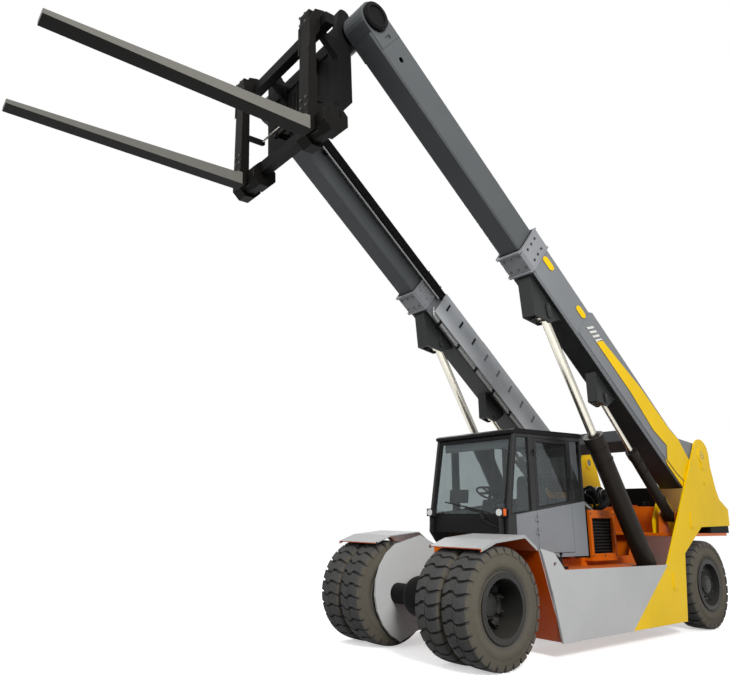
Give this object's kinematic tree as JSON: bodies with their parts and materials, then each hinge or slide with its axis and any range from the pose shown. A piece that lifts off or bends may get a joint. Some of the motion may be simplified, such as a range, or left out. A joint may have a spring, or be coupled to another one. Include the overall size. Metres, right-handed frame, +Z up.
{
  "type": "telescopic handler",
  "caption": "Heavy telescopic handler with a pair of telescoping booms, a low cab between them, a head shaft with a fork carriage, dual front wheels and steered rear wheels.",
  "frame": {"origin": "on the floor under the middle of the machine's overall length, on its centre plane", "axes": "+X forward, the way the forks point; +Y to the machine's left; +Z up"},
  "size_m": [10.5746, 2.494, 7.3162],
  "materials": {
    "tyre": "matte moulded rubber",
    "wheel_black": "semi-gloss black paint",
    "chassis_orange": "gloss orange paint",
    "panel_grey": "gloss grey paint, rear part yellow",
    "boom_grey": "semi-gloss dark grey paint",
    "dark_paint": "satin black paint",
    "chrome_rod": "polished hard chrome",
    "glass": "tinted safety glass",
    "seat_cloth": "dark woven cloth",
    "black_plastic": "matte black"
  },
  "bodies": {
    "chassis": {"drive_axle": "dark_paint", "steer_axle": "dark_paint", "side_plate_left": "panel_grey", "side_plate_right": "panel_grey", "boom_post_left": "chassis_orange", "boom_post_right": "chassis_orange", "main_frame": "chassis_orange", "nose_plates": "panel_grey", "side_floors": "chassis_orange", "rear_deck": "chassis_orange", "cylinder_brackets_left": "chassis_orange", "cylinder_brackets_right": "chassis_orange", "mudguards": "panel_grey", "engine": "dark_paint", "radiator_guard": "dark_paint", "hydraulic_tank": "chassis_orange", "counterweight": "dark_paint", "cab_side_left": "panel_grey", "cab_side_right": "panel_grey", "cab_front": "boom_grey", "cab_rear": "boom_grey", "cab_floor": "dark_paint", "cab_roof": "boom_grey", "cab_glass": "glass", "seat": "seat_cloth", "steering_column": "black_plastic", "work_lamps": "black_plastic"},
    "front_wheels_left": {"front_tyres_left": "tyre", "front_rims_left": "wheel_black"},
    "front_wheels_right": {"front_tyres_right": "tyre", "front_rims_right": "wheel_black"},
    "knuckle_left": {"knuckle_left": "dark_paint"},
    "knuckle_right": {"knuckle_right": "dark_paint"},
    "rear_wheel_left": {"rear_tyre_left": "tyre", "rear_rim_left": "wheel_black"},
    "rear_wheel_right": {"rear_tyre_right": "tyre", "rear_rim_right": "wheel_black"},
    "door": {"cab_door": "panel_grey", "door_glass": "glass"},
    "boom": {"outer_boom_left": "boom_grey", "outer_boom_right": "boom_grey", "boom_collar_left": "panel_grey", "boom_collar_right": "panel_grey", "boom_cross_beam": "boom_grey", "hose_tray": "boom_grey"},
    "inner_boom": {"inner_boom_left": "boom_grey", "inner_boom_right": "boom_grey"},
    "carriage": {"head_shaft": "dark_paint", "carriage_frame": "dark_paint"},
    "fork_left": {"fork_left": "dark_paint"},
    "fork_right": {"fork_right": "dark_paint"},
    "lift_rods": {"lift_rod_left": "chrome_rod", "lift_rod_right": "chrome_rod"},
    "lift_barrels": {"lift_barrel_left": "dark_paint", "lift_barrel_right": "dark_paint"},
    "comp_rods": {"comp_rod_left": "chrome_rod", "comp_rod_right": "chrome_rod"},
    "comp_barrels": {"comp_barrel_left": "dark_paint", "comp_barrel_right": "dark_paint"}
  },
  "joints": [
    {"name": "front_wheels_left_spin", "type": "hinge", "parent": "chassis", "child": "front_wheels_left", "pos_m": [0.30265, 0.861, 0.6125], "axis": [0, 1, 0], "continuous": true},
    {"name": "front_wheels_right_spin", "type": "hinge", "parent": "chassis", "child": "front_wheels_right", "pos_m": [0.30265, -0.861, 0.6125], "axis": [0, 1, 0], "continuous": true},
    {"name": "steer_left", "type": "hinge", "parent": "chassis", "child": "knuckle_left", "pos_m": [-4.31735, 0.8, 0.6125], "axis": [0, 0, 1], "range_deg": [-40, 40]},
    {"name": "steer_right", "type": "hinge", "parent": "chassis", "child": "knuckle_right", "pos_m": [-4.31735, -0.8, 0.6125], "axis": [0, 0, 1], "range_deg": [-40, 40]},
    {"name": "rear_wheel_left_spin", "type": "hinge", "parent": "knuckle_left", "child": "rear_wheel_left", "pos_m": [-4.31735, 1, 0.6125], "axis": [0, 1, 0], "continuous": true},
    {"name": "rear_wheel_right_spin", "type": "hinge", "parent": "knuckle_right", "child": "rear_wheel_right", "pos_m": [-4.31735, -1, 0.6125], "axis": [0, 1, 0], "continuous": true},
    {"name": "door_swing", "type": "hinge", "parent": "chassis", "child": "door", "pos_m": [-1.06735, 0.694, 1.8], "axis": [0, 0, -1], "range_deg": [0, 80]},
    {"name": "boom_lift", "type": "hinge", "parent": "chassis", "child": "boom", "pos_m": [-4.59735, 0, 2.5], "axis": [0, -1, 0], "range_deg": [-40, 10]},
    {"name": "boom_extend", "type": "slide", "parent": "boom", "child": "inner_boom", "axis": [0.7859, 0, 0.6184], "range_m": [-2.3, 0.35]},
    {"name": "carriage_tilt", "type": "hinge", "parent": "inner_boom", "child": "carriage", "pos_m": [2.05635, 0, 7.03607], "axis": [0, 1, 0], "range_deg": [-44, 14]},
    {"name": "fork_left_shift", "type": "slide", "parent": "carriage", "child": "fork_left", "axis": [0, 1, 0], "range_m": [-0.42, 0.05]},
    {"name": "fork_right_shift", "type": "slide", "parent": "carriage", "child": "fork_right", "axis": [0, -1, 0], "range_m": [-0.42, 0.05]},
    {"name": "lift_rod_swing", "type": "hinge", "parent": "boom", "child": "lift_rods", "pos_m": [-1.02738, 0, 4.1195], "axis": [0, -1, 0], "range_deg": [-1.5, 5.7]},
    {"name": "lift_barrel_slide", "type": "slide", "parent": "lift_rods", "child": "lift_barrels", "axis": [-0.5294, 0, -0.8484], "range_m": [-1.63, 0.41]},
    {"name": "comp_rod_swing", "type": "hinge", "parent": "boom", "child": "comp_rods", "pos_m": [-2.24751, 0, 3.11991], "axis": [0, -1, 0], "range_deg": [-4.9, 1.3]},
    {"name": "comp_barrel_slide", "type": "slide", "parent": "comp_rods", "child": "comp_barrels", "axis": [-0.716, 0, -0.6981], "range_m": [-0.82, 0.21]}
  ],
  "couplings": [
    {"joint": "steer_right", "follows": "steer_left", "ratio": 1},
    {"joint": "lift_rod_swing", "follows": "boom_lift", "ratio": -0.14},
    {"joint": "lift_barrel_slide", "follows": "boom_lift", "m_per_rad": 2.3193},
    {"joint": "comp_rod_swing", "follows": "boom_lift", "ratio": 0.12},
    {"joint": "comp_barrel_slide", "follows": "boom_lift", "m_per_rad": 1.16}
  ]
}
